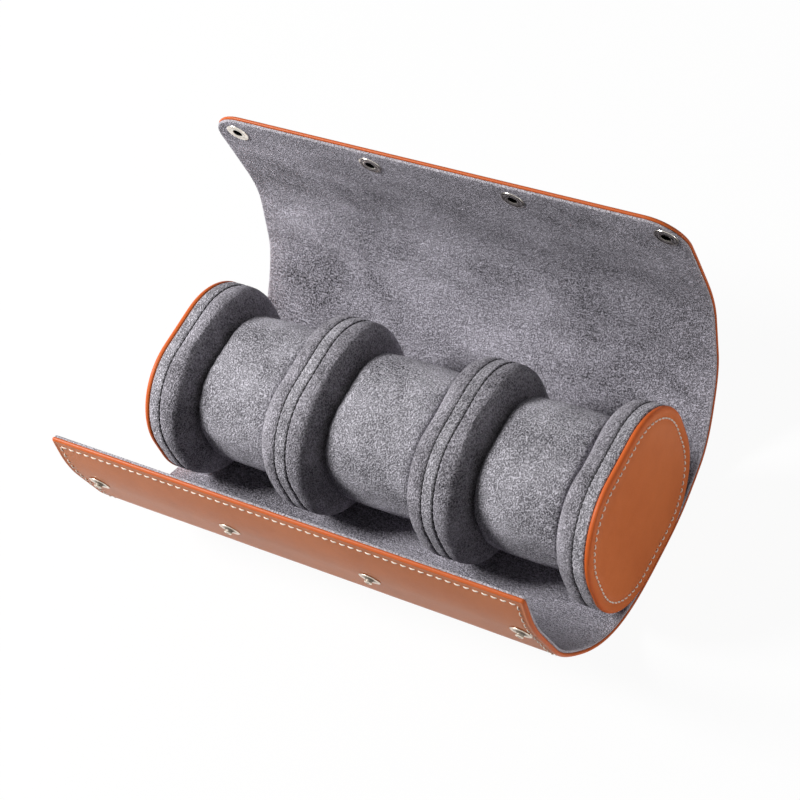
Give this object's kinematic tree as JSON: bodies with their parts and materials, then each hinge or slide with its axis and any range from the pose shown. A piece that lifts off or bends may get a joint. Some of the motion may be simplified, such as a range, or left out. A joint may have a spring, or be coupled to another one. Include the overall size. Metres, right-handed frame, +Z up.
{
  "type": "watch travel case",
  "caption": "Roll-up leather travel case for watches, with padded suede discs and cushions, a long lid flap, a front flap and a row of snaps.",
  "frame": {"origin": "centre of the base panel's flat underside, on the surface that the open case rests on", "axes": "+X along the roll towards the end that is nearer in the picture, +Y back towards the lid flap, +Z up"},
  "size_m": [0.2518, 0.1795, 0.1397],
  "materials": {
    "tan_leather": "smooth satin",
    "grey_suede_lining": "brushed nap",
    "stiffener_board": "plain",
    "grey_suede_gusset": "brushed nap",
    "grey_suede_pad": "brushed nap",
    "snap_metal": "polished",
    "grey_suede_cushion": "brushed nap"
  },
  "bodies": {
    "base": {"base_leather": "tan_leather", "base_lining": "grey_suede_lining", "base_board": "stiffener_board", "spine_strip": "grey_suede_gusset", "cap_face_left": "tan_leather", "cap_core_left": "grey_suede_gusset", "cap_pad_left": "grey_suede_pad", "cap_face_right": "tan_leather", "cap_core_right": "grey_suede_gusset", "cap_pad_right": "grey_suede_pad", "divider_core_1": "grey_suede_gusset", "divider_pad_left_1": "grey_suede_pad", "divider_pad_right_1": "grey_suede_pad", "divider_core_2": "grey_suede_gusset", "divider_pad_left_2": "grey_suede_pad", "divider_pad_right_2": "grey_suede_pad"},
    "lid_1": {"lid_leather_1": "tan_leather", "lid_lining_1": "grey_suede_lining"},
    "lid_2": {"lid_leather_2": "tan_leather", "lid_lining_2": "grey_suede_lining"},
    "lid_3": {"lid_leather_3": "tan_leather", "lid_lining_3": "grey_suede_lining"},
    "lid_4": {"lid_leather_4": "tan_leather", "lid_lining_4": "grey_suede_lining"},
    "lid_5": {"lid_leather_5": "tan_leather", "lid_lining_5": "grey_suede_lining", "lid_board": "stiffener_board"},
    "lid_6": {"lid_leather_6": "tan_leather", "lid_lining_6": "grey_suede_lining", "socket_1": "snap_metal", "socket_2": "snap_metal", "socket_3": "snap_metal", "socket_4": "snap_metal", "socket_cap_1": "snap_metal", "socket_cap_2": "snap_metal", "socket_cap_3": "snap_metal", "socket_cap_4": "snap_metal"},
    "flap_1": {"flap_leather_1": "tan_leather", "flap_lining_1": "grey_suede_lining"},
    "flap_2": {"flap_leather_2": "tan_leather", "flap_lining_2": "grey_suede_lining"},
    "flap_3": {"flap_leather_3": "tan_leather", "flap_lining_3": "grey_suede_lining"},
    "flap_4": {"flap_leather_4": "tan_leather", "flap_lining_4": "grey_suede_lining", "stud_1": "snap_metal", "stud_2": "snap_metal", "stud_3": "snap_metal", "stud_4": "snap_metal", "stud_back_1": "snap_metal", "stud_back_2": "snap_metal", "stud_back_3": "snap_metal", "stud_back_4": "snap_metal"},
    "flap_5": {"flap_leather_5": "tan_leather", "flap_lining_5": "grey_suede_lining"},
    "cushion_1": {"cushion_1": "grey_suede_cushion"},
    "cushion_2": {"cushion_2": "grey_suede_cushion"},
    "cushion_3": {"cushion_3": "grey_suede_cushion"}
  },
  "joints": [
    {"name": "lid_bend_1", "type": "hinge", "parent": "base", "child": "lid_1", "pos_m": [0, 0.02057, 0.0032], "axis": [-1, 0, 0], "range_deg": [-17, 0]},
    {"name": "lid_bend_2", "type": "hinge", "parent": "lid_1", "child": "lid_2", "pos_m": [0, 0.03921, 0.0075], "axis": [-1, 0, 0], "range_deg": [-24, 0]},
    {"name": "lid_bend_3", "type": "hinge", "parent": "lid_2", "child": "lid_3", "pos_m": [0, 0.07982, 0.03964], "axis": [-1, 0, 0], "range_deg": [-6, 0]},
    {"name": "lid_bend_4", "type": "hinge", "parent": "lid_3", "child": "lid_4", "pos_m": [0, 0.08541, 0.05794], "axis": [-1, 0, 0], "range_deg": [-30, 0]},
    {"name": "lid_bend_5", "type": "hinge", "parent": "lid_4", "child": "lid_5", "pos_m": [0, 0.09101, 0.07623], "axis": [-1, 0, 0], "range_deg": [-7, 0]},
    {"name": "lid_bend_6", "type": "hinge", "parent": "lid_5", "child": "lid_6", "pos_m": [0, 0.08659, 0.11826], "axis": [-1, 0, 0], "range_deg": [-28, 0]},
    {"name": "flap_bend_1", "type": "hinge", "parent": "base", "child": "flap_1", "pos_m": [0, -0.02579, 0.0032], "axis": [1, 0, 0], "range_deg": [-21, 0]},
    {"name": "flap_bend_2", "type": "hinge", "parent": "flap_1", "child": "flap_2", "pos_m": [0, -0.0528, 0.01523], "axis": [1, 0, 0], "range_deg": [-16, 0]},
    {"name": "flap_bend_3", "type": "hinge", "parent": "flap_2", "child": "flap_3", "pos_m": [0, -0.07408, 0.04346], "axis": [1, 0, 0], "range_deg": [-4, 0]},
    {"name": "flap_bend_4", "type": "hinge", "parent": "flap_3", "child": "flap_4", "pos_m": [0, -0.07773, 0.06224], "axis": [1, 0, 0], "range_deg": [-30, 0]},
    {"name": "flap_bend_5", "type": "hinge", "parent": "flap_4", "child": "flap_5", "pos_m": [0, -0.08138, 0.08102], "axis": [1, 0, 0], "range_deg": [-13, 0]},
    {"name": "cushion_slide_1", "type": "slide", "parent": "base", "child": "cushion_1", "axis": [0, 0, 1], "range_m": [0, 0.085]},
    {"name": "cushion_slide_2", "type": "slide", "parent": "base", "child": "cushion_2", "axis": [0, 0, 1], "range_m": [0, 0.085]},
    {"name": "cushion_slide_3", "type": "slide", "parent": "base", "child": "cushion_3", "axis": [0, 0, 1], "range_m": [0, 0.085]}
  ],
  "couplings": [
    {"joint": "lid_bend_2", "follows": "lid_bend_1", "ratio": 1.4118},
    {"joint": "lid_bend_3", "follows": "lid_bend_1", "ratio": 0.35294},
    {"joint": "lid_bend_4", "follows": "lid_bend_1", "ratio": 1.7647},
    {"joint": "lid_bend_5", "follows": "lid_bend_1", "ratio": 0.41176},
    {"joint": "lid_bend_6", "follows": "lid_bend_1", "ratio": 1.6471},
    {"joint": "flap_bend_2", "follows": "flap_bend_1", "ratio": 0.7619},
    {"joint": "flap_bend_3", "follows": "flap_bend_1", "ratio": 0.19048},
    {"joint": "flap_bend_4", "follows": "flap_bend_1", "ratio": 1.4286},
    {"joint": "flap_bend_5", "follows": "flap_bend_1", "ratio": 0.61905}
  ]
}
